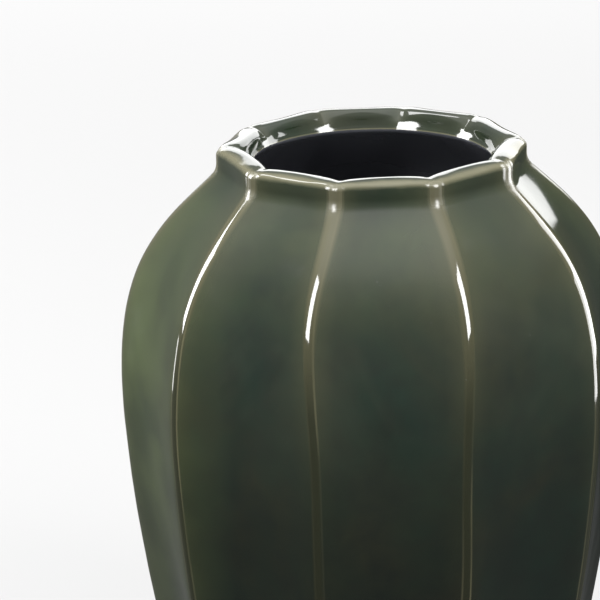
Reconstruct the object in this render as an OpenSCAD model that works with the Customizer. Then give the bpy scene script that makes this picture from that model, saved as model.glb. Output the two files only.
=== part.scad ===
// Fluted stoneware vase: one fired clay body whose hollowed panels meet in rounded ribs, a coat
// of glaze that covers the outside and runs over the lip, and a liner glaze inside.
// Millimetres, +Z up. The origin is the middle of the flat foot, and one rib points along +X.

/* [Overall] */
// Height from the table to the top of the lip
total_h = 260; // [240:5:300]
// Diameter of the belly across opposite ribs
belly_d = 200; // [184:2:220]
// Height of the belly as a share of the total height
belly_share = 0.635; // [0.58:0.005:0.68]
// Number of panels around the vase
panels = 10; // [8:1:12]

/* [Neck] */
// Diameter of the upright collar across opposite ribs
collar_d = 121; // [116:1:130]
// Height of the lip's top above the line where the shoulder meets the collar
collar_h = 9; // [8:0.5:12]
// Diameter of the mouth at the inner edge of the lip, across opposite corners
mouth_d = 103; // [98:1:106]
// Diameter of the throat, the narrowest place, across opposite corners
throat_d = 94; // [86:1:96]
// Depth of the throat below the top of the lip
throat_drop = 7; // [5:0.5:8]
// Slope of the shoulder where it meets the collar, in degrees from level
shoulder_slope = 42; // [36:1:50]

/* [Fluting] */
// Roundness of a rib's crest, in degrees around the axis
rib_round = 1.7; // [0.6:0.1:2.5]
// Depth of a panel's hollow below its chord, as a share of the radius
panel_hollow = 0.006; // [0:0.002:0.04]
// Share of the fluting that also shows on the inside wall
inner_flute = 0.75; // [0.4:0.05:0.9]
// Share of the fluting that shows at the throat, which is nearly round
throat_flute = 0.15; // [0:0.05:0.5]

/* [Foot] */
// Diameter of the body where the glaze ends, across opposite ribs
base_d = 155; // [140:1:164]
// Diameter of the flat foot ring across opposite ribs
foot_d = 142; // [124:2:144]
// Width of the foot ring's flat face
foot_w = 8; // [6:0.5:12]
// Depth of the recess inside the foot ring
foot_recess = 3; // [2:0.5:4]
// Height of the bare clay between the table and the glaze
glaze_line = 8; // [6:0.5:12]
// Lean of the wall above the foot, in degrees from upright
base_lean = 13.5; // [8:0.5:20]

/* [Thickness] */
// Thickness of the wall behind the middle of a panel
wall_t = 6.5; // [5.5:0.5:8]
// Height of the inside floor above the table
floor_h = 11; // [9:0.5:15]
// Thickness of the glaze
glaze_t = 0.5; // [0.3:0.1:0.8]

/* [Hidden] */

belly_r = belly_d / 2;
belly_h = total_h * belly_share;
collar_r = collar_d / 2;
mouth_r = mouth_d / 2;
throat_r = throat_d / 2;
base_r = base_d / 2;
foot_r = foot_d / 2;

// Height of the corner where the shoulder's tangent meets the collar
corner_h = total_h - collar_h;
// How far the shoulder's curve and the fillet stop short of that corner
shoulder_gap = 6.6;
fillet_leg = 3.3;
// Plan and height of the rounding on the lip's outer edge
lip_round_w = 3.5;
lip_round_h = 2.8;
// Drop of the lip's inner edge below its crown, and the size of the rounding there
inner_edge_drop = 1;
inner_round = 0.9;
// Size of the rounded edge at the throat
throat_round = 1.5;
// Height over which the inside wall takes up its fluting, below the throat
flute_rise = 40;
// Radius of the corner between the inside wall and the floor
floor_corner = 14;
// Width of the slope from the foot ring up into its recess
recess_run = 2.5;
// Segments along the lower wall and the shoulder, and steps in each rounded edge
lower_steps = 8;
shoulder_steps = 7;
edge_steps = 3;

// Section: angles of the points around one panel, measured from its rib
half_panel = 180 / panels;
on_crest = 0.9 * rib_round;
beside_rib = 2.6 * rib_round;
panel_angles = [
    0,
    on_crest,
    beside_rib,
    half_panel,
    2 * half_panel - beside_rib,
    2 * half_panel - on_crest
];
around = panels * len(panel_angles);

// Distance from a rib in degrees, eased so that the crest is round; reach is its largest value
function eased(angle) = sqrt(angle * angle + rib_round * rib_round) - rib_round;
reach = eased(half_panel);

// How far the surface lies inside the circle through the ribs, as a share of the radius,
// at an angle from the nearest rib
function dip(angle) =
    let (
        from_middle = half_panel * (1 - eased(angle) / reach),
        chord = cos(half_panel) / cos(from_middle),
        hollow = panel_hollow * (1 - pow(from_middle / half_panel, 2))
    )
    1 - chord + hollow;
middle_dip = dip(half_panel);

// A profile point is [radius at the ribs, height, share of the fluting that shows there]
function ring(p) = [
    for (k = [0 : panels - 1])
    for (step = panel_angles)
    let (
        from_rib = min(step, 2 * half_panel - step),
        angle = 2 * half_panel * k + step,
        r = p[0] * (1 - p[2] * dip(from_rib))
    )
    [r * cos(angle), r * sin(angle), p[1]]
];

// Cubic and quadratic curves, as points without the last one
function cubic(a, b, c, d, n) = [
    for (i = [0 : n - 1])
    let (t = i / n, u = 1 - t)
    u * u * u * a + 3 * u * u * t * b + 3 * u * t * t * c + t * t * t * d
];
function quadratic(a, b, c, n) = [
    for (i = [0 : n - 1])
    let (t = i / n, u = 1 - t)
    u * u * a + 2 * u * t * b + t * t * c
];

function part_of(list, first, last) = [for (i = [first : last]) list[i]];
function reversed(list) = [for (i = [len(list) - 1 : -1 : 0]) list[i]];

// The path moved inwards by d, at right angles to itself
function inset(path, d) = [
    for (i = [0 : len(path) - 1])
    let (
        before = path[max(i - 1, 0)],
        after = path[min(i + 1, len(path) - 1)],
        dr = after[0] - before[0],
        dz = after[1] - before[1],
        length = norm([dr, dz])
    )
    [path[i][0] - d * dz / length, path[i][1] + d * dr / length, path[i][2]]
];

// Outer wall, from the glaze line up to the shoulder
base_point = [base_r, glaze_line, 1];
belly_point = [belly_r, belly_h, 1];
lower_pull = 0.29 * (belly_h - glaze_line);
lower_wall = cubic(
    base_point,
    base_point + lower_pull * [sin(base_lean), cos(base_lean), 0],
    belly_point - [0, lower_pull, 0],
    belly_point,
    lower_steps
);
corner = [collar_r, corner_h, 1];
down_shoulder = [cos(shoulder_slope), -sin(shoulder_slope), 0];
shoulder_top = corner + shoulder_gap * down_shoulder;
shoulder = cubic(
    belly_point,
    belly_point + [0, 0.616 * (shoulder_top[1] - belly_h), 0],
    shoulder_top + 0.763 * (belly_r - shoulder_top[0]) * down_shoulder,
    shoulder_top,
    shoulder_steps
);

// Collar, lip and the inside of the neck, from the shoulder to the throat
collar_foot = quadratic(
    corner + fillet_leg * down_shoulder,
    corner,
    corner + [0, fillet_leg, 0],
    edge_steps
);
lip_outer = [
    for (i = [0 : edge_steps])
    let (a = 90 * i / edge_steps)
    [
        collar_r - lip_round_w * (1 - cos(a)),
        total_h - lip_round_h * (1 - sin(a)),
        1
    ]
];
inner_edge = [mouth_r, total_h - inner_edge_drop, inner_flute];
throat = [throat_r, total_h - throat_drop, throat_flute];
lip_inner = [
    inner_edge + [inner_round, 0.4 * inner_edge_drop, 0],
    inner_edge,
    inner_edge - [inner_round, inner_round, 0],
    throat + [0.3, throat_round, 0],
    throat
];

// Inside wall, from just below the throat to the edge of the flat floor. It follows the
// middle of the panels at an even thickness, and the fluting fades towards the throat.
function inside_share(height) =
    let (below = min(1, (throat[1] - height) / flute_rise))
    throat_flute + (inner_flute - throat_flute) * below;
outer_wall = concat(lower_wall, shoulder, [shoulder_top]);
panel_middles = [for (p = outer_wall) [p[0] * (1 - middle_dip), p[1], 0]];
below_throat = throat + [0.6, -throat_round, 0];
inner_wall = [
    for (p = reversed(inset(panel_middles, wall_t)))
    let (share = inside_share(p[1]))
    if (p[1] > floor_h + floor_corner)
    [p[0] / (1 - share * middle_dip), p[1], share]
];
wall_end = inner_wall[len(inner_wall) - 1];
floor_edge = [wall_end[0] - floor_corner, floor_h, inner_flute];
floor_bend = quadratic(
    wall_end,
    [wall_end[0] - 0.2 * floor_corner, floor_h, inner_flute],
    floor_edge,
    edge_steps
);

// The glaze's visible surface from the glaze line, over the lip and down to the floor
outside_path = concat(outer_wall, collar_foot, lip_outer, lip_inner);
inside_path = concat([below_throat], inner_wall, part_of(floor_bend, 1, edge_steps - 1), [floor_edge]);
glaze_path = concat(outside_path, inside_path);
clay_path = inset(glaze_path, glaze_t);
throat_at = len(outside_path) - 1;
last_at = len(glaze_path) - 1;

// Bare foot, from the recess under the floor to the glaze line
foot_path = concat(
    [
        [foot_r - foot_w - recess_run, foot_recess, 1],
        [foot_r - foot_w, 0, 1]
    ],
    quadratic([foot_r, 0, 1], [base_r - 2, 0, 1], clay_path[0], edge_steps)
);

// Triangles that join each ring of points to the next
function bands(rings) = [
    for (j = [0 : rings - 2])
    for (i = [0 : around - 1])
    let (
        a = j * around + i,
        b = j * around + (i + 1) % around
    )
    each [[a, a + around, b], [b, a + around, b + around]]
];

// Solid bounded by a path that starts below and ends above, with a flat cap at each end
module capped_solid(path) {
    rings = len(path);
    points = [for (p = path) each ring(p)];
    first_cap = [for (i = [0 : around - 1]) i];
    last_cap = [for (i = [around - 1 : -1 : 0]) (rings - 1) * around + i];
    polyhedron(points, concat(bands(rings), [first_cap, last_cap]));
}

// Solid bounded by a path that closes on itself
module ring_solid(path) {
    rings = len(path);
    points = [for (p = path) each ring(p)];
    faces = [for (f = bands(rings + 1)) [for (v = f) v % (rings * around)]];
    polyhedron(points, faces);
}

// Fired clay: wall, floor, collar and foot ring in one piece
module stoneware_body() {
    color([0.62, 0.52, 0.42])
        capped_solid(concat(foot_path, clay_path));
}

// Green glaze on the outside, over the lip and down to the throat
module outer_glaze() {
    color([0.25, 0.32, 0.26])
        ring_solid(concat(
            part_of(glaze_path, 0, throat_at),
            reversed(part_of(clay_path, 0, throat_at))
        ));
}

// Dark liner glaze on the inside wall and the floor
module liner_glaze() {
    color([0.1, 0.13, 0.12])
        capped_solid(concat(
            reversed(part_of(clay_path, throat_at, last_at)),
            part_of(glaze_path, throat_at, last_at)
        ));
}

stoneware_body();
outer_glaze();
liner_glaze();
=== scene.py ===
"""Looks for the fluted stoneware vase: clay body, outer glaze and liner glaze, on a pale floor.

Metres, +Z up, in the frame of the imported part. The three pieces repeat the part's own section
and profile at a finer grain, and add what a hand-made pot has: ribs that stray a little, soft
pillows along the lip, a wavy end to the glaze, and a faint unevenness of the surface.
"""
import math

import bpy
import numpy as np
from mathutils import Matrix, Vector


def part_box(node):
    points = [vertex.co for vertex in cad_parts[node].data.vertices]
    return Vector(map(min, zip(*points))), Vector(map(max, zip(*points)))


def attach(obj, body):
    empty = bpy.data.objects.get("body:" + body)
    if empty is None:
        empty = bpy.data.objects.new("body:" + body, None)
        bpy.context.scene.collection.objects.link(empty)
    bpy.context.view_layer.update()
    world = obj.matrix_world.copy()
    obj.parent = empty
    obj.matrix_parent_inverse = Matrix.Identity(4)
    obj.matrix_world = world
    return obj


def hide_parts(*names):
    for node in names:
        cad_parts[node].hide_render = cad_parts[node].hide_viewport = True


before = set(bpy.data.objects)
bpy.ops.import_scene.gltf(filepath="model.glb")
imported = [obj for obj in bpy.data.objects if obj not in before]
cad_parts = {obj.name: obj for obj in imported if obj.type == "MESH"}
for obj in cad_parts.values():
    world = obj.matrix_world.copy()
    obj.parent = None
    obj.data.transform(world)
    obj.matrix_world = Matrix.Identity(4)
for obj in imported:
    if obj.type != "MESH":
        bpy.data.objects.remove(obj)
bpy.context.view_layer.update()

# ---------------------------------------------------------------- sizes of the part
MM = 0.001

# Fluting: panels, degrees of roundness of a rib, and shares of the radius or of the fluting
PANELS = 10
HALF_PANEL = 180.0 / PANELS
RIB_ROUND = 1.7
PANEL_HOLLOW = 0.006
INNER_FLUTE = 0.75
THROAT_FLUTE = 0.15

# Outer wall
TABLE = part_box("stoneware_body")[0].z
GLAZE_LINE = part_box("outer_glaze")[0].z
TOTAL_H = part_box("outer_glaze")[1].z
BELLY_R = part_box("outer_glaze")[1].x
BELLY_H = 0.635 * TOTAL_H
BASE_R = 77.5 * MM
BASE_LEAN = math.radians(13.5)
LOWER_PULL = 0.29 * (BELLY_H - GLAZE_LINE)
SHOULDER_SLOPE = math.radians(42)
SHOULDER_GAP = 6.6 * MM

# Collar, lip and throat
COLLAR_R = 60.5 * MM
COLLAR_H = 9 * MM
COLLAR_FOOT = TOTAL_H - COLLAR_H
FILLET_LEG = 3.3 * MM
CROWN_W = 4.6 * MM
CROWN_H = 3.2 * MM
MOUTH_R = 51.5 * MM
MOUTH_EDGE_DROP = 1 * MM
THROAT_R = 47 * MM
THROAT_DROP = 7 * MM

# Inside and glaze
WALL_T = 6.5 * MM
GLAZE_T = 0.5 * MM
FLUTE_RISE = 40 * MM
FLOOR_H = 11 * MM
FLOOR_CORNER = 14 * MM

# ---------------------------------------------------------------- what a hand-made pot adds
# Degrees by which each rib strays at the shoulder, the belly and the lower wall
STRAY = {
    0: (-0.5, -0.8, -0.8),
    36: (0.5, 1.2, 0.9),
    72: (-0.6, 0.3, 0.8),
    108: (0.8, -0.9, -1.2),
    144: (-0.3, 0.7, 0.4),
    180: (1.1, 2.0, 2.0),
    216: (1.2, 0.35, 0.25),
    252: (-1.25, 0.5, 0.15),
    288: (-0.8, -3.1, -2.4),
    324: (-0.5, -1.0, -1.1),
}
STRAY_HEIGHTS = np.array([0, 110, 165, 222, 251]) * MM

# The body stands a hair to one side of its lip, fully so this far below the collar
LEAN = 0.6 * MM
LEAN_H = 52 * MM

# The surface is uneven, and the glaze ends in a wave that dies out above it
UNEVEN = 0.16 * MM
GLAZE_WAVE = 1.3 * MM
GLAZE_WAVE_H = 9 * MM

# Points round each panel, steps along the lower wall and the shoulder, and steps in the neck
PER_PANEL = 40
WALL_STEPS = 56
NECK_STEPS = 12


# ---------------------------------------------------------------- section of the fluting
def angles_around():
    """Angles of the points round the vase, closer together beside the ribs."""
    t = np.linspace(0, 1, PER_PANEL // 2, endpoint=False)
    half = HALF_PANEL * (0.22 * t + 0.78 * t ** 2.2)
    one = np.sort(np.concatenate([half, 2 * HALF_PANEL - half[:0:-1], [HALF_PANEL]]))
    return np.concatenate([one + 2 * HALF_PANEL * k for k in range(PANELS)])


AROUND = angles_around()
FROM_LAST_RIB = np.mod(AROUND, 2 * HALF_PANEL)
SIGNED_FROM_RIB = np.where(
    FROM_LAST_RIB > HALF_PANEL, FROM_LAST_RIB - 2 * HALF_PANEL, FROM_LAST_RIB
)
FROM_RIB = np.abs(SIGNED_FROM_RIB)


def eased(angle):
    """Degrees from a rib, eased so that its crest is round."""
    return np.sqrt(angle * angle + RIB_ROUND * RIB_ROUND) - RIB_ROUND


def dip(angle):
    """Share of the radius by which the surface lies inside the ribs' circle."""
    from_middle = HALF_PANEL * (1 - eased(angle) / eased(HALF_PANEL))
    chord = math.cos(math.radians(HALF_PANEL)) / np.cos(np.radians(from_middle))
    return 1 - chord + PANEL_HOLLOW * (1 - (from_middle / HALF_PANEL) ** 2)


MIDDLE_DIP = float(dip(HALF_PANEL))


def smoothstep(t):
    return t * t * (3 - 2 * t)


def curve_through(x, xs, ys):
    """Smooth curve through points (Hermite with finite-difference slopes); flat outside."""
    xs, ys = np.asarray(xs, float), np.asarray(ys, float)
    slope = np.gradient(ys, xs)
    slope[0] = slope[-1] = 0
    x = np.clip(x, xs[0], xs[-1])
    i = np.clip(np.searchsorted(xs, x, side="right") - 1, 0, len(xs) - 2)
    step = xs[i + 1] - xs[i]
    t = (x - xs[i]) / step
    return (
        (2 * t ** 3 - 3 * t ** 2 + 1) * ys[i]
        + (t ** 3 - 2 * t ** 2 + t) * step * slope[i]
        + (3 * t ** 2 - 2 * t ** 3) * ys[i + 1]
        + (t ** 3 - t ** 2) * step * slope[i + 1]
    )


def stray(heights):
    """Degrees by which the surface is turned, for each height and each angle around."""
    ribs = sorted(STRAY)
    by_rib = np.array([
        curve_through(heights, STRAY_HEIGHTS, [low, low, belly, shoulder, 0])
        for shoulder, belly, low in (STRAY[rib] for rib in ribs)
    ])
    wrapped = np.concatenate([by_rib[-2:], by_rib, by_rib[:3]])
    at = np.array([rib - 360 for rib in ribs[-2:]] + ribs + [rib + 360 for rib in ribs[:3]], float)
    return np.array([curve_through(AROUND, at, wrapped[:, j]) for j in range(len(heights))])


def waves(x, y, z, seed, size, count=10):
    """Smooth unevenness from a few sine waves, about -1 to 1, wavelengths near size."""
    rng = np.random.default_rng(seed)
    total = 0
    for _ in range(count):
        way = rng.normal(size=3)
        way /= np.linalg.norm(way)
        length = size * rng.uniform(0.7, 1.6)
        phase = rng.uniform(0, 6.3)
        along = way[0] * x + way[1] * y + way[2] * z
        total = total + np.sin(2 * math.pi * along / length + phase)
    return total / math.sqrt(count * 0.5) / 1.6


# ---------------------------------------------------------------- profile of the wall
def point(r, z, share):
    """Radius at the ribs, height, and the share of the fluting that shows there."""
    return np.array([r, z, share], float)


def cubic(a, b, c, d, n):
    t = np.linspace(0, 1, n, endpoint=False)[:, None]
    u = 1 - t
    return u ** 3 * a + 3 * u * u * t * b + 3 * u * t * t * c + t ** 3 * d


def quadratic(a, b, c, n):
    t = np.linspace(0, 1, n, endpoint=False)[:, None]
    u = 1 - t
    return u * u * a + 2 * u * t * b + t * t * c


def inset(path, distance):
    """The path moved inwards, at right angles to itself."""
    d = np.gradient(path[:, :2], axis=0)
    d /= np.linalg.norm(d, axis=1)[:, None]
    out = path.copy()
    out[:, 0] -= distance * d[:, 1]
    out[:, 1] += distance * d[:, 0]
    return out


def rounded(path, rounds):
    """Chaikin corner cutting that keeps the end points, to round a polyline."""
    for _ in range(rounds):
        a, b = path[:-1], path[1:]
        cut = np.empty((2 * len(a), path.shape[1]))
        cut[0::2] = 0.75 * a + 0.25 * b
        cut[1::2] = 0.25 * a + 0.75 * b
        path = np.concatenate([path[:1], cut, path[-1:]])
    return path


def wall_profile(corner, down):
    """Lower wall and shoulder, up to the curve into the collar."""
    base = point(BASE_R, GLAZE_LINE, 1)
    belly = point(BELLY_R, BELLY_H, 1)
    lower = cubic(
        base,
        base + LOWER_PULL * point(math.sin(BASE_LEAN), math.cos(BASE_LEAN), 0),
        belly - point(0, LOWER_PULL, 0),
        belly,
        WALL_STEPS,
    )
    top = corner + SHOULDER_GAP * down
    shoulder = cubic(
        belly,
        belly + point(0, 0.616 * (top[1] - BELLY_H), 0),
        top + 0.763 * (BELLY_R - top[0]) * down,
        top,
        WALL_STEPS,
    )
    return np.concatenate([lower, shoulder, [top]])


def neck_profile(corner, down, throat):
    """Curve into the collar, the collar, the thick lip and the inside of the neck."""
    fillet = quadratic(
        corner + FILLET_LEG * down, corner, corner + point(0, FILLET_LEG, 0), NECK_STEPS
    )
    a = np.linspace(0, math.pi / 2, NECK_STEPS)
    crown = np.stack([
        COLLAR_R - CROWN_W * (1 - np.cos(a)),
        TOTAL_H - CROWN_H * (1 - np.sin(a)),
        np.ones(NECK_STEPS),
    ], axis=1)
    edge = point(MOUTH_R, TOTAL_H - MOUTH_EDGE_DROP, INNER_FLUTE)
    inner = rounded(np.array([
        crown[-1],
        edge + point(2.6 * MM, 0.92 * MM, 0.12),
        edge + point(1.1 * MM, 0.5 * MM, 0),
        edge + point(0.1 * MM, -0.3 * MM, 0),
        edge + point(-1.0 * MM, -1.3 * MM, 0),
        throat + point(1.55 * MM, 2.9 * MM, 0),
        throat + point(0.5 * MM, 1.0 * MM, 0),
        throat,
    ]), 3)
    return np.concatenate([fillet, crown, inner[1:]])


def inside_profile(outer_wall, throat):
    """Inside wall, even in thickness behind the panels, from below the throat to the floor."""
    middles = outer_wall.copy()
    middles[:, 0] *= 1 - MIDDLE_DIP
    wall = inset(middles, WALL_T)[::-1]
    wall = wall[wall[:, 1] > FLOOR_H + FLOOR_CORNER]
    below = np.clip((throat[1] - wall[:, 1]) / FLUTE_RISE, 0, 1)
    share = THROAT_FLUTE + (INNER_FLUTE - THROAT_FLUTE) * below
    wall = np.stack([wall[:, 0] / (1 - share * MIDDLE_DIP), wall[:, 1], share], axis=1)
    end = wall[-1]
    floor_r = end[0] - FLOOR_CORNER
    bend = quadratic(
        end,
        point(end[0] - 0.2 * FLOOR_CORNER, FLOOR_H, INNER_FLUTE),
        point(floor_r, FLOOR_H, INNER_FLUTE),
        9,
    )
    floor = np.array([
        point(floor_r * s, FLOOR_H, INNER_FLUTE * min(1, s * 1.2))
        for s in (1, 0.92, 0.8, 0.65, 0.5, 0.35, 0.2, 0.1, 0.04)
    ])
    knee = rounded(np.array([
        throat,
        throat + point(0.15 * MM, -0.8 * MM, 0),
        throat + point(0.6 * MM, -1.5 * MM, 0),
        wall[0],
        wall[1],
    ]), 2)
    return np.concatenate([knee[1:-1], wall[1:], bend[1:], floor])


# ---------------------------------------------------------------- from profile to mesh
def lay_rings(path):
    """Points of every ring of the path, with the ribs straying: array (rings, around, 3)."""
    r, z, share = path[:, 0:1], path[:, 1:2], path[:, 2:3]
    radius = r * (1 - share * dip(FROM_RIB[None, :]))
    turned = np.radians(AROUND[None, :] + stray(path[:, 1]))
    x, y = radius * np.cos(turned), radius * np.sin(turned)
    return np.stack([x, y, np.broadcast_to(z, radius.shape)], axis=2)


def lean(grid):
    """The body, below its collar, stands a hair to one side."""
    t = np.clip((COLLAR_FOOT - grid[..., 2]) / LEAN_H, 0, 1)
    grid = grid.copy()
    grid[..., 0] -= LEAN * smoothstep(t)
    return grid


def wavy_glaze_end(grid):
    """The glaze stops in a soft wavy line a little above the bare clay."""
    x, y, z = grid[..., 0], grid[..., 1], grid[..., 2]
    t = np.clip((z - GLAZE_LINE) / GLAZE_WAVE_H, 0, 1)
    rise = (0.5 + 0.5 * waves(x, y, 0 * z, 11, 34 * MM)) * GLAZE_WAVE
    grid = grid.copy()
    grid[..., 2] += rise * (1 - t) ** 2
    return grid


def uneven(grid):
    """Moves points in and out a little, as poured glaze over hand-worked clay does."""
    x, y, z = grid[..., 0], grid[..., 1], grid[..., 2]
    flat = np.hypot(x, y)
    move = UNEVEN * (0.7 * waves(x, y, z, 3, 46 * MM) + 0.3 * waves(x, y, z, 4, 17 * MM))
    move = move * np.clip((TOTAL_H - 2 * MM - z) / (20 * MM), 0.25, 1)
    grid = grid.copy()
    grid[..., 0] += x / flat * move
    grid[..., 1] += y / flat * move
    return grid


def soft_lip(grid):
    """Each panel's part of the lip is a soft pillow, pinched where a rib crosses it."""
    x, y, z = grid[..., 0], grid[..., 1], grid[..., 2]
    flat = np.hypot(x, y)
    beside = np.radians(FROM_RIB)[None, :] * flat
    pillow = 1 - (1 - FROM_RIB[None, :] / HALF_PANEL) ** 2.6
    pinch = np.exp(-((beside - 2.3 * MM) / (0.9 * MM)) ** 2)
    notch = np.exp(-((beside / (2.6 * MM)) ** 2))

    # Outwards on the outer side and inwards on the inner side, from the collar's foot upwards
    up = smoothstep(np.clip((z - (COLLAR_FOOT - 0.5 * MM)) / (5 * MM), 0, 1))
    outer = np.clip((flat - 54 * MM) / (3 * MM), 0, 1)
    out = outer * (0.7 * MM * pillow - 0.22 * MM * pinch) - (1 - outer) * 0.9 * MM * pillow

    # Up along the crown, which also waves a little
    tall = 0.35 * MM * pillow - 0.3 * MM * notch + 0.38 * MM * waves(x, y, 0 * z, 21, 46 * MM)
    below = np.clip((z - COLLAR_FOOT) / COLLAR_H, 0, 1)

    # The throat keeps its shape, because the liner starts there
    throat_keeps = np.clip((flat - THROAT_R - 0.4 * MM) / (2.5 * MM), 0, 1)
    grid = grid.copy()
    grid[..., 0] += x / flat * out * up * throat_keeps
    grid[..., 1] += y / flat * out * up * throat_keeps
    grid[..., 2] += tall * below ** 1.5 * throat_keeps
    return grid


def marks(path):
    """What the glaze's colour follows: millimetres from the nearest rib, the side of that rib
    (0 to 2), and closeness to the lip's crown and the throat's edge."""
    away = np.radians(FROM_RIB)[None, :] * path[:, 0:1] / MM
    side = np.sin(np.pi * SIGNED_FROM_RIB / HALF_PANEL)[None, :] + 1
    throat_edge = np.exp(-(((path[:, 1] - throat[1]) / (0.45 * MM)) ** 2))
    rim = 0.8 * throat_edge * (path[:, 0] < throat[0] + 1 * MM)
    if path[:, 1].max() > TOTAL_H - 1 * MM:
        along = np.concatenate([[0], np.cumsum(np.hypot(*np.diff(path[:, :2], axis=0).T))]) / MM
        past_crown = along - along[np.argmax(path[:, 1] > TOTAL_H - 1.3 * MM)]
        rim = np.maximum(rim, np.exp(-((past_crown / 1.6) ** 2)))
        # The ribs' colour fades out on the inner side of the lip
        away = away + 5 * np.clip(past_crown / 3, 0, 1)[:, None]
    return {
        "from_rib": away,
        "rib_side": np.broadcast_to(side, away.shape),
        "rim_edge": np.broadcast_to(rim[:, None], away.shape),
    }


def build(name, grid, closed_path=False, capped=False, values=None):
    """Mesh of quads over a grid of rings, whose path closes on itself or has its ends capped.
    The rings run so that faces look outwards. Values are grids that become attributes."""
    rings, around = grid.shape[:2]
    last = (rings - 1) * around
    verts = [tuple(v) for v in grid.reshape(-1, 3)]
    faces = []
    for j in range(rings if closed_path else rings - 1):
        a0 = j * around
        b0 = ((j + 1) % rings) * around
        for i in range(around):
            i2 = (i + 1) % around
            faces.append((a0 + i, a0 + i2, b0 + i2, b0 + i))
    if capped:
        first_middle = len(verts)
        last_middle = first_middle + 1
        verts += [tuple(grid[0].mean(0)), tuple(grid[-1].mean(0))]
        faces += [(first_middle, (i + 1) % around, i) for i in range(around)]
        faces += [(last_middle, last + i, last + (i + 1) % around) for i in range(around)]
    mesh = bpy.data.meshes.new(name)
    mesh.from_pydata(verts, [], faces)
    mesh.shade_smooth()
    for key, value in (values or {}).items():
        middles = [value[0].mean(), value[-1].mean()] if capped else []
        attribute = mesh.attributes.new(key, "FLOAT", "POINT")
        flat = np.concatenate([value.reshape(-1), middles])
        attribute.data.foreach_set("value", flat.astype(np.float32))
    mesh.update()
    obj = bpy.data.objects.new(name, mesh)
    bpy.context.scene.collection.objects.link(obj)
    return obj


# ---------------------------------------------------------------- the three pieces
corner = point(COLLAR_R, COLLAR_FOOT, 1)
down_shoulder = point(math.cos(SHOULDER_SLOPE), -math.sin(SHOULDER_SLOPE), 0)
throat = point(THROAT_R, TOTAL_H - THROAT_DROP, THROAT_FLUTE)
outer_wall = wall_profile(corner, down_shoulder)
outside = np.concatenate([outer_wall, neck_profile(corner, down_shoulder, throat)])
inside = inside_profile(outer_wall, throat)

# Outer glaze: the visible face with a rounded bead where it ends, and the face on the clay
bead = np.array([
    point(BASE_R + r * MM, GLAZE_LINE + z * MM, 1)
    for r, z in ((-0.42, 0.02), (-0.12, 0.04), (0.08, 0.25), (0.14, 0.7), (0.25, 1.5))
])
face = np.concatenate([bead, outside[2:]])
back = inset(outside, GLAZE_T)[::-1]
back = np.concatenate([back[::2], back[-1:]])
face_marks, back_marks = marks(face), marks(back)
glaze = build(
    "outer_glaze_coat",
    lean(np.concatenate([
        uneven(soft_lip(wavy_glaze_end(lay_rings(face)))),
        soft_lip(wavy_glaze_end(lay_rings(back))),
    ])),
    closed_path=True,
    values={key: np.concatenate([face_marks[key], back_marks[key]]) for key in face_marks},
)

# Liner glaze: from the throat down the inside wall and across the floor
under = inset(inside, GLAZE_T)[::-1][:-1:2]
liner = build(
    "liner_glaze_coat",
    lean(np.concatenate([lay_rings(under), lay_rings(inside)])),
    capped=True,
)

# Clay body: underside and foot ring, outside, lip core, inside and floor
foot = np.concatenate([
    [
        point(r * MM, z * MM, 1)
        for r, z in (
            # Recess, from the middle outwards
            (6, 2.75), (20, 2.8), (36, 2.9), (50, 3), (58.2, 3), (60, 2.65),
            # Slope down to the flat ring, and its two rounded edges
            (62.3, 0.45), (63, 0.08), (63.8, 0), (67, 0), (70.2, 0), (71.2, 0.12),
        )
    ],
    quadratic(
        point(72 * MM, 0.45 * MM, 1),
        point(BASE_R - 1.6 * MM, 1.6 * MM, 1),
        point(BASE_R - 0.55 * MM, GLAZE_LINE, 1),
        9,
    ),
])
UNDER_GLAZE = GLAZE_T + 0.02 * MM
clay_path = np.concatenate([
    foot, inset(outside, UNDER_GLAZE)[::2], inset(inside, UNDER_GLAZE)[1::2]
])
body = build("clay_body", lean(soft_lip(lay_rings(clay_path))), capped=True)

for piece, node, slot_name in (
    (body, "stoneware_body", "bare_clay"),
    (glaze, "outer_glaze", "green_glaze"),
    (liner, "liner_glaze", "liner_glaze"),
):
    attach(piece, "root")
    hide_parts(node)


# ---------------------------------------------------------------- materials
def set_stops(ramp, stops):
    """Puts stops on a colour ramp; each is a position with a grey or a colour."""
    while len(ramp.elements) < len(stops):
        ramp.elements.new(0.5)
    for element, (position, shade) in zip(ramp.elements, stops):
        element.position = position
        element.color = (*shade, 1) if isinstance(shade, tuple) else (shade, shade, shade, 1)


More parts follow.
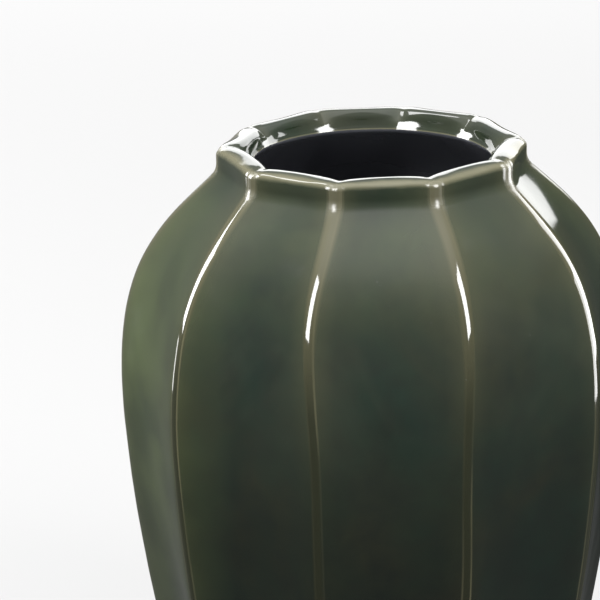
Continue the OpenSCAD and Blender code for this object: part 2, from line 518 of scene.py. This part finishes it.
class Nodes:
    """Short helper for wiring a material or a world."""

    def __init__(self, owner):
        owner.use_nodes = True
        self.owner = owner
        self.tree = owner.node_tree

    def new(self, kind, **settings):
        node = self.tree.nodes.new("ShaderNode" + kind)
        for key, value in settings.items():
            setattr(node, key, value)
        return node

    def put(self, socket, value):
        """Links a socket to another, or sets its value."""
        if isinstance(value, bpy.types.NodeSocket):
            self.tree.links.new(value, socket)
        else:
            socket.default_value = value

    def noise(self, where, scale, detail=3.0, roughness=0.5, distortion=0.0):
        n = self.new("TexNoise")
        self.put(n.inputs["Vector"], where)
        n.inputs["Scale"].default_value = scale
        n.inputs["Detail"].default_value = detail
        n.inputs["Roughness"].default_value = roughness
        n.inputs["Distortion"].default_value = distortion
        return n.outputs["Fac"]

    def cells(self, where, scale):
        """Distance from the nearest of many scattered points."""
        n = self.new("TexVoronoi")
        self.put(n.inputs["Vector"], where)
        n.inputs["Scale"].default_value = scale
        return n.outputs["Distance"]

    def ramp(self, fac, stops, interpolation="LINEAR"):
        n = self.new("ValToRGB")
        n.color_ramp.interpolation = interpolation
        set_stops(n.color_ramp, stops)
        self.put(n.inputs["Fac"], fac)
        return n.outputs["Color"]

    def math(self, op, *values):
        n = self.new("Math", operation=op)
        for socket, value in zip(n.inputs, values):
            self.put(socket, value)
        return n.outputs[0]

    def times(self, a, b):
        return self.math("MULTIPLY", a, b)

    def minus(self, a, b):
        return self.math("SUBTRACT", a, b)

    def mix(self, fac, a, b, blend="MIX"):
        n = self.new("Mix", data_type="RGBA", blend_type=blend)
        self.put(n.inputs[0], fac)
        for socket, value in ((n.inputs[6], a), (n.inputs[7], b)):
            self.put(socket, (*value, 1) if isinstance(value, tuple) else value)
        return n.outputs[2]

    def bump(self, height, strength, distance, before=None):
        n = self.new("Bump")
        n.inputs["Strength"].default_value = strength
        n.inputs["Distance"].default_value = distance
        self.put(n.inputs["Height"], height)
        if before is not None:
            self.put(n.inputs["Normal"], before)
        return n.outputs["Normal"]

    def attribute(self, name):
        return self.new("Attribute", attribute_name=name).outputs["Fac"]

    def where(self):
        return self.new("TexCoord").outputs["Object"]

    def split(self, vector):
        n = self.new("SeparateXYZ")
        self.put(n.inputs[0], vector)
        return n.outputs


def material(name):
    m = Nodes(bpy.data.materials.new(name))
    return m, m.tree.nodes["Principled BSDF"]


def green_glaze():
    m, shader = material("green_glaze")
    where = m.where()
    place = m.split(where)
    height = m.math("DIVIDE", place["Z"], TOTAL_H)
    # Painted light: the side of the pot towards the left lamp (-X) is made lighter
    towards_lamp_side = m.times(place["X"], -10.0)

    # Millimetres from the nearest rib: across has the rib's side as its sign, and away wanders
    side = m.math("SIGN", m.minus(m.attribute("rib_side"), 1.0))
    across = m.times(m.attribute("from_rib"), side)
    beside = m.math("ABSOLUTE", across)
    wander = m.times(m.minus(m.noise(where, 28, 3), 0.5), 2.2)
    away = m.math("ABSOLUTE", m.math("ADD", across, wander))

    # Thick glaze in the middle of a panel is a deep green that drifts between teal and brown
    color = m.ramp(m.noise(where, 15, 3, 0.55, 0.4), [
        (0.34, (0.0038, 0.0085, 0.0060)),
        (0.50, (0.0048, 0.0088, 0.0056)),
        (0.66, (0.0085, 0.0092, 0.0052)),
    ])
    mottle = m.ramp(m.noise(where, 62, 5, 0.7, 0.3), [(0.36, 0.0), (0.64, 0.75)])
    color = m.mix(mottle, color, (0.0040, 0.0060, 0.0045))

    # It is a lighter, cloudy olive on the shoulder, and painted lighter on the side towards the
    # left lamp
    cloud = m.ramp(m.noise(where, 19, 4, 0.6, 0.6), [(0.32, 0.25), (0.68, 1.0)])
    high = m.ramp(height, [(0.25, 0.0), (0.62, 0.02), (0.80, 0.16), (0.93, 0.80), (0.97, 0.3)])
    color = m.mix(m.times(high, cloud), color, (0.021, 0.028, 0.0125))
    painted_lit_side = m.ramp(towards_lamp_side, [(0.60, 0.0), (0.92, 1.0)])
    patches = m.ramp(m.noise(where, 34, 3, 0.55, 0.25), [(0.34, 0.45), (0.64, 1.0)])
    color = m.mix(m.times(painted_lit_side, patches), color, (0.0275, 0.0365, 0.0150))
    fog = m.ramp(m.noise(where, 12, 4, 0.6, 0.8), [(0.45, 0.0), (0.70, 0.5)])
    fog = m.times(fog, m.ramp(height, [(0.55, 0.15), (0.85, 1.0)]))
    color = m.mix(fog, color, (0.020, 0.0225, 0.0145))
    # Painted shade: the colour darkens towards the bottom
    low_shade = m.ramp(height, [(0.1, 0.55), (0.45, 0.72), (0.7, 1.0)])
    color = m.mix(1.0, color, low_shade, "MULTIPLY")

    # It thins towards the ribs, and the clay warms it to olive
    warm = m.ramp(
        m.math("DIVIDE", away, 22.0), [(0.0, 1.0), (0.16, 0.62), (0.42, 0.18), (1.0, 0.0)]
    )
    warm = m.times(warm, m.ramp(m.noise(where, 22, 3, 0.6), [(0.3, 0.35), (0.7, 1.0)]))
    # The olive also spreads wider on the side towards the left lamp: painted light
    spread = m.ramp(towards_lamp_side, [(0.35, 0.0), (0.60, 0.7)])
    higher = m.ramp(height, [(0.45, 0.25), (0.66, 0.45), (0.82, 0.9)])
    warm = m.times(warm, m.math("MAXIMUM", spread, higher))
    olive = m.ramp(height, [
        (0.30, (0.010, 0.011, 0.0050)),
        (0.60, (0.017, 0.0175, 0.0075)),
        (0.80, (0.028, 0.0285, 0.0140)),
    ])
    color = m.mix(warm, color, olive)

    # A band on the crest, wider and paler on the shoulder
    half_band = m.ramp(height, [(0.0, 0.20), (0.70, 0.22), (0.84, 0.30), (0.95, 0.36)])
    band = m.math("DIVIDE", beside, m.times(half_band, 10.0))
    band = m.ramp(band, [(0.55, 1.0), (1.15, 0.0)])
    pale = m.ramp(height, [
        (0.0, (0.006, 0.0068, 0.0036)),
        (0.70, (0.0095, 0.0105, 0.0050)),
        (0.84, (0.028, 0.027, 0.0135)),
        (0.93, (0.040, 0.038, 0.021)),
    ])
    color = m.mix(m.times(band, 0.9), color, pale)

    # Hair lines along the two sides of the crest, where the glaze is thinnest
    sway = m.times(m.minus(m.noise(where, 9, 2), 0.5), 3.0)
    for offset, strength in ((1.7, 0.9), (-1.7, 0.55)):
        line = m.math("ABSOLUTE", m.minus(m.math("ADD", across, sway), offset))
        line = m.ramp(line, [(0.12, 1.0), (0.55, 0.0)])
        shown = m.ramp(m.noise(where, 7 + offset, 2), [(0.40, 0.1), (0.58, 1.0)])
        line = m.times(m.times(line, shown), strength)
        line = m.times(line, m.ramp(height, [(0.72, 1.0), (0.86, 0.3)]))
        color = m.mix(line, color, (0.055, 0.052, 0.030))

    # The lip's upper edge breaks to tan
    ragged = m.times(m.minus(m.noise(where, 140, 3, 0.6), 0.5), 0.45)
    rim = m.math("ADD", m.attribute("rim_edge"), ragged)
    rim = m.ramp(rim, [(0.12, 0.0), (0.55, 0.6), (0.95, 1.0)])
    color = m.mix(rim, color, (0.062, 0.059, 0.036))

    # Tiny dark specks of iron
    cells = m.cells(where, 420)
    speck = m.ramp(cells, [(0.0, 1.0), (0.07, 0.0)])
    pick = m.ramp(m.noise(where, 160, 2), [(0.56, 0.0), (0.62, 1.0)])
    color = m.mix(m.times(m.times(speck, pick), 0.7), color, (0.002, 0.002, 0.0015))
    m.put(shader.inputs["Base Color"], color)

    # Glossy all over, and a little duller where a rib crosses the collar
    rough = m.ramp(m.noise(where, 90, 4, 0.6), [(0.3, 0.055), (0.7, 0.085)])
    crossing = m.ramp(m.math("DIVIDE", beside, 10.0), [(0.22, 1.0), (0.50, 0.0)])
    crossing = m.times(crossing, m.ramp(height, [(0.945, 0.0), (0.965, 1.0)]))
    m.put(shader.inputs["Roughness"], m.mix(crossing, rough, (0.30, 0.30, 0.30)))
    shader.inputs["IOR"].default_value = 1.52

    # Faint ripple, orange peel and pinholes
    normal = m.bump(m.noise(where, 40, 2, 0.4), 0.25, 0.0005)
    normal = m.bump(m.noise(where, 380, 2, 0.5), 0.05, 0.0002, normal)
    few = m.ramp(m.noise(where, 110, 2), [(0.62, 0.0), (0.68, 1.0)])
    pits = m.math("MAXIMUM", m.ramp(cells, [(0.0, 0.0), (0.055, 1.0)]), m.minus(1.0, few))
    m.put(shader.inputs["Normal"], m.bump(pits, 0.3, 0.0003, normal))
    return m.owner


def dark_liner():
    m, shader = material("liner_glaze")
    where = m.where()
    drift = m.noise(where, 26, 4, 0.55, 0.5)
    color = m.ramp(drift, [(0.3, (0.026, 0.027, 0.032)), (0.7, (0.038, 0.040, 0.045))])
    m.put(shader.inputs["Base Color"], color)
    rough = m.ramp(m.noise(where, 80, 3), [(0.3, 0.06), (0.7, 0.12)])
    m.put(shader.inputs["Roughness"], rough)
    m.put(shader.inputs["Normal"], m.bump(m.noise(where, 50, 3), 0.4, 0.0008))
    return m.owner


def bare_clay():
    m, shader = material("bare_clay")
    where = m.where()
    color = m.ramp(m.noise(where, 30, 4, 0.55), [
        (0.30, (0.28, 0.19, 0.12)),
        (0.55, (0.36, 0.25, 0.16)),
        (0.75, (0.42, 0.31, 0.21)),
    ])

    # Dark grains of grog
    grog = m.ramp(m.cells(where, 520), [(0.05, 1.0), (0.17, 0.0)])
    pick = m.ramp(m.noise(where, 210, 2), [(0.5, 0.0), (0.6, 0.8)])
    color = m.mix(m.times(grog, pick), color, (0.09, 0.055, 0.035))

    # The flat ring that stands on the table is rubbed pale; the recess inside it and the low foot
    # are painted a little darker, a painted shade. The height is in units of 4 mm.
    shade = m.ramp(m.times(m.split(where)["Z"], 250.0), [
        (0.02, (1.25, 1.22, 1.18)), (0.12, 1.0), (0.5, 0.8), (0.85, 0.78), (0.95, 1.0),
    ])
    m.put(shader.inputs["Base Color"], m.mix(1.0, color, shade, "MULTIPLY"))
    rough = m.ramp(m.noise(where, 300, 3), [(0.3, 0.75), (0.7, 0.92)])
    m.put(shader.inputs["Roughness"], rough)
    normal = m.bump(m.noise(where, 900, 4, 0.7), 0.5, 0.0004)
    m.put(shader.inputs["Normal"], m.bump(m.noise(where, 90, 3), 0.4, 0.0006, normal))
    return m.owner


glaze.data.materials.append(green_glaze())
liner.data.materials.append(dark_liner())
body.data.materials.append(bare_clay())

# ---------------------------------------------------------------- camera
# Degrees from straight ahead of -Y at which the viewer stands, to the viewer's left
VIEWER_TURN = -3.21
LOOK_DOWN = 18.205
ROLL = -1.326
LENS = 157.1
STAND = (-0.0292, -0.9831, TOTAL_H + 0.2595)

turn = Matrix.Rotation(math.radians(VIEWER_TURN), 4, "Z")
camera_data = bpy.data.cameras.new("camera")
camera_data.sensor_width = 36
camera_data.lens = LENS
camera = bpy.data.objects.new("camera", camera_data)
bpy.context.scene.collection.objects.link(camera)
camera.matrix_world = (
    turn
    @ Matrix.Translation(STAND)
    @ Matrix.Rotation(math.radians(90 - LOOK_DOWN), 4, "X")
    @ Matrix.Rotation(math.radians(ROLL), 4, "Z")
)
bpy.context.scene.camera = camera

# ---------------------------------------------------------------- light
AIM = Vector((0, 0, 0.165))


def heading(azimuth, elevation):
    """Unit vector from the vase; azimuth 0 is towards the viewer, positive to the right."""
    a, e = math.radians(azimuth), math.radians(elevation)
    flat = turn @ Vector((math.sin(a) * math.cos(e), -math.cos(a) * math.cos(e), 0))
    return flat + Vector((0, 0, math.sin(e)))


def softbox(name, azimuth, elevation, distance, across, tall, radiance):
    """Rectangular light; across and tall are the angles that it fills, seen from the vase."""
    data = bpy.data.lights.new(name, "AREA")
    data.shape = "RECTANGLE"
    data.size = 2 * distance * math.tan(math.radians(across / 2))
    data.size_y = 2 * distance * math.tan(math.radians(tall / 2))
    data.energy = radiance * data.size * data.size_y * math.pi
    light = bpy.data.objects.new(name, data)
    bpy.context.scene.collection.objects.link(light)
    light.visible_camera = False
    way = heading(azimuth, elevation)
    light.location = AIM + way * distance
    light.rotation_euler = way.to_track_quat("Z", "Y").to_euler()


softbox("left", -105, 25, 1.4, 22, 40, 25)
softbox("front_left", -41, 38, 1.5, 21, 38, 24)
softbox("front_right", 49, 36, 1.5, 21, 38, 24)
softbox("right", 117, 16, 0.85, 27, 54, 10)
softbox("right_low", 99, 2, 1.0, 20, 38, 10)
softbox("back", 176, 17, 2.4, 56, 22, 3.6)
softbox("high_left", -117, 61, 1.5, 12, 18, 12)
softbox("low_left", -114.5, -7, 0.62, 6, 12, 7)

# ---------------------------------------------------------------- floor
FLOOR_HALF = 6.0
FLOOR_Z = TABLE - 0.1 * MM
floor_mesh = bpy.data.meshes.new("floor")
floor_mesh.from_pydata(
    [
        (x * FLOOR_HALF, y * FLOOR_HALF, FLOOR_Z)
        for x, y in ((-1, -1), (1, -1), (1, 1), (-1, 1))
    ],
    [],
    [(0, 1, 2, 3)],
)
floor = bpy.data.objects.new("floor", floor_mesh)
bpy.context.scene.collection.objects.link(floor)
floor.visible_glossy = False

# A dark paper that glows evenly, a little more further away, so that shadows stay soft
m, shader = material("floor")
shader.inputs["Roughness"].default_value = 0.9
shader.inputs["Specular IOR Level"].default_value = 0.0
shader.inputs["Base Color"].default_value = (0.08, 0.08, 0.08, 1)
shader.inputs["Emission Color"].default_value = (1, 1, 1, 1)
reach = m.new("VectorMath", operation="LENGTH")
m.put(reach.inputs[0], m.where())
glow = m.ramp(m.times(reach.outputs["Value"], 0.5), [(0.08, 0.58), (0.3, 0.63), (0.8, 0.77)])
m.put(shader.inputs["Emission Strength"], glow)

# Seen from below the floor is clear, so the underside can be looked at
choose = m.new("MixShader")
m.put(choose.inputs[0], m.new("NewGeometry").outputs["Backfacing"])
m.put(choose.inputs[1], shader.outputs[0])
m.put(choose.inputs[2], m.new("BsdfTransparent").outputs[0])
m.put(m.tree.nodes["Material Output"].inputs["Surface"], choose.outputs[0])
floor_mesh.materials.append(m.owner)

# ---------------------------------------------------------------- surroundings
# A grey room, darker below and lighter overhead
w = Nodes(bpy.data.worlds.new("studio"))
bpy.context.scene.world = w.owner
look = w.new("TexCoord").outputs["Generated"]
room = w.ramp(
    w.math("MULTIPLY_ADD", w.split(look)["Z"], 0.5, 0.5),
    [
        (0.0, 0.035), (0.24, 0.045), (0.35, 0.060), (0.45, 0.085),
        (0.54, 0.105), (0.75, 0.135), (0.89, 0.245), (0.98, 0.64),
    ],
    "B_SPLINE",
)

# A dark flag low on the far right
flag = w.new("VectorMath", operation="DOT_PRODUCT")
w.put(flag.inputs[0], look)
w.put(flag.inputs[1], heading(150, -6))
shade = w.new("MapRange", interpolation_type="SMOOTHSTEP")
w.put(shade.inputs["Value"], flag.outputs["Value"])
for key, value in (("From Min", 0.80), ("From Max", 0.96), ("To Min", 1.0), ("To Max", 0.22)):
    w.put(shade.inputs[key], value)
shaded = w.new("VectorMath", operation="SCALE")
w.put(shaded.inputs[0], room)
w.put(shaded.inputs["Scale"], shade.outputs["Result"])

# The camera sees a plain pale backdrop instead
camera_ray = w.new("LightPath").outputs["Is Camera Ray"]
background = w.tree.nodes["Background"]
w.put(background.inputs["Color"], w.mix(camera_ray, shaded.outputs[0], (0.265, 0.265, 0.265)))
w.put(background.inputs["Strength"], 3.6)

bpy.context.scene.view_settings.view_transform = "Standard"
bpy.context.scene.view_settings.look = "None"
